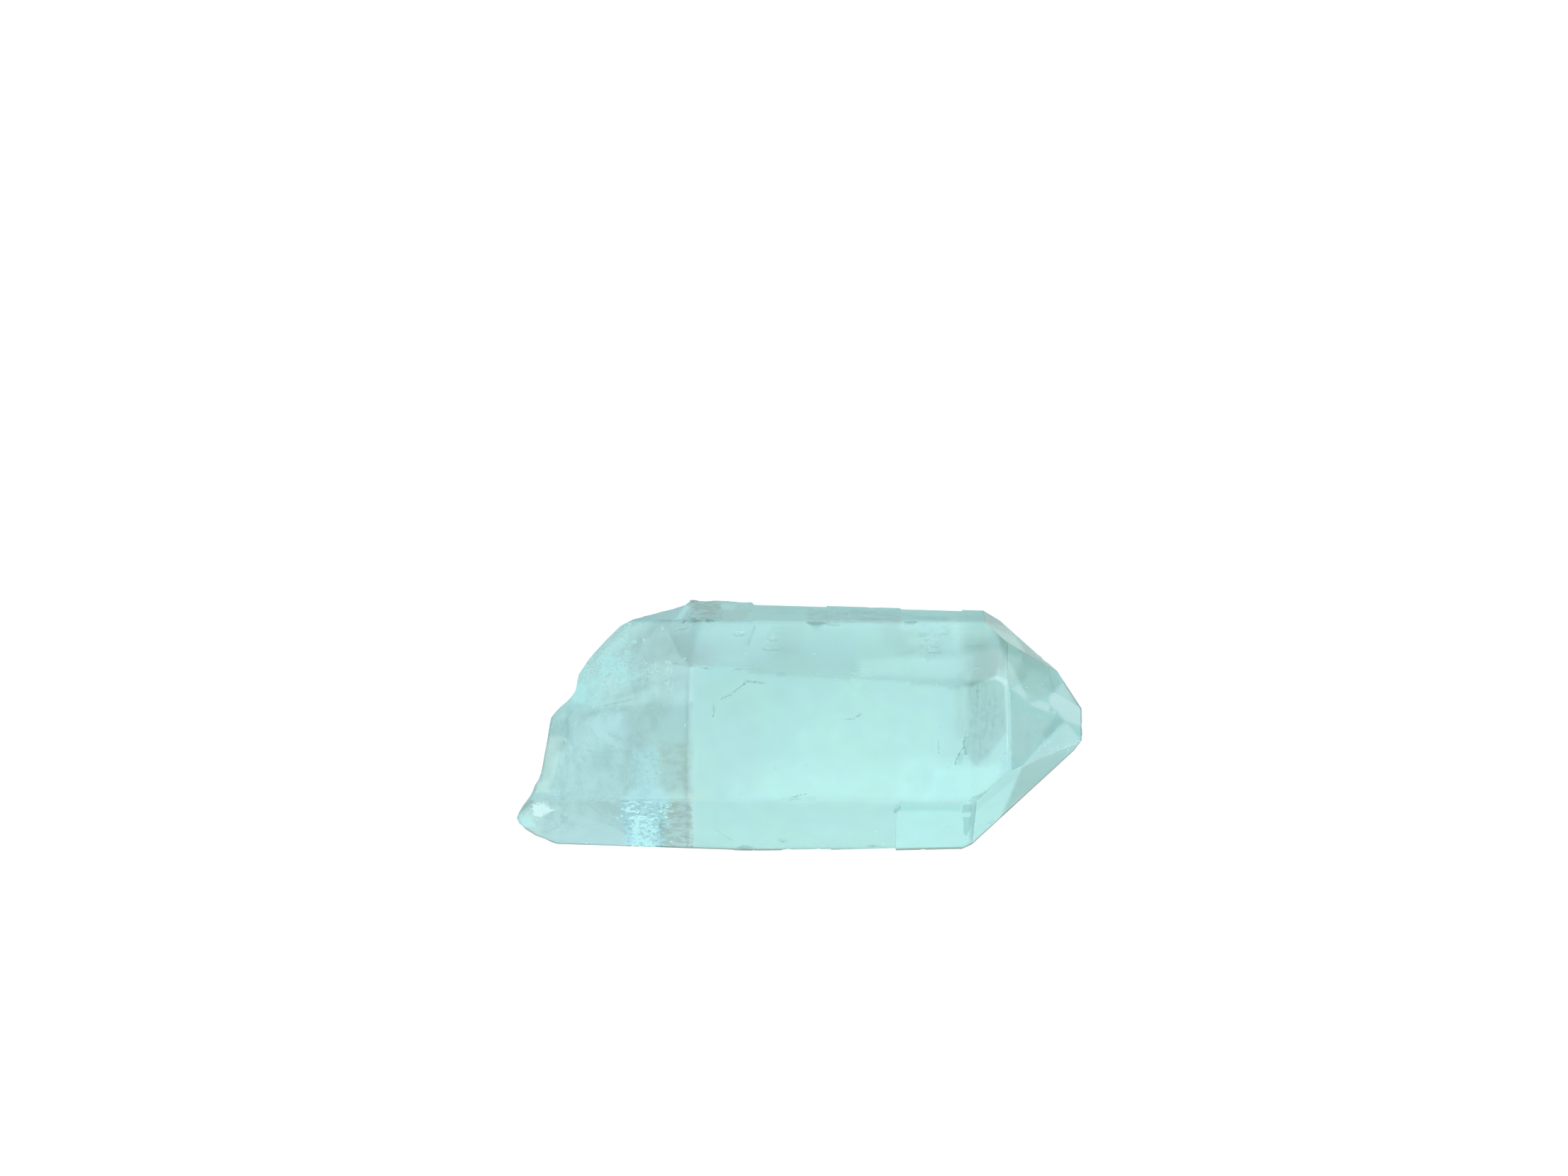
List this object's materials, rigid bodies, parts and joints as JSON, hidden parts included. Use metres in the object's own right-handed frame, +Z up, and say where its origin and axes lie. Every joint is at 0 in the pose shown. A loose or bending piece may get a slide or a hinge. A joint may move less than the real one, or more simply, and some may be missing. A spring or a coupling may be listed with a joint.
{
  "type": "rock crystal point",
  "caption": "Single clear quartz point with a faint aqua tint, lying on a long prism face, with a faceted tip, growth ledges, chipped ridges and a rough broken root end.",
  "frame": {"origin": "centre of the crystal's bounding box in x and y, on the surface that it lies on", "axes": "+X along the crystal's long axis towards its point, +Z up out of the lying face, and -Y the near side of the picture's view"},
  "size_m": [0.0706, 0.0312, 0.0187],
  "materials": {
    "quartz": "clear crystal with a faint aqua tint, see-through, glossy natural faces, a rougher sparkling root end, inner veils and cracks"
  },
  "bodies": {
    "root": {"crystal_point": "quartz"}
  },
  "joints": []
}
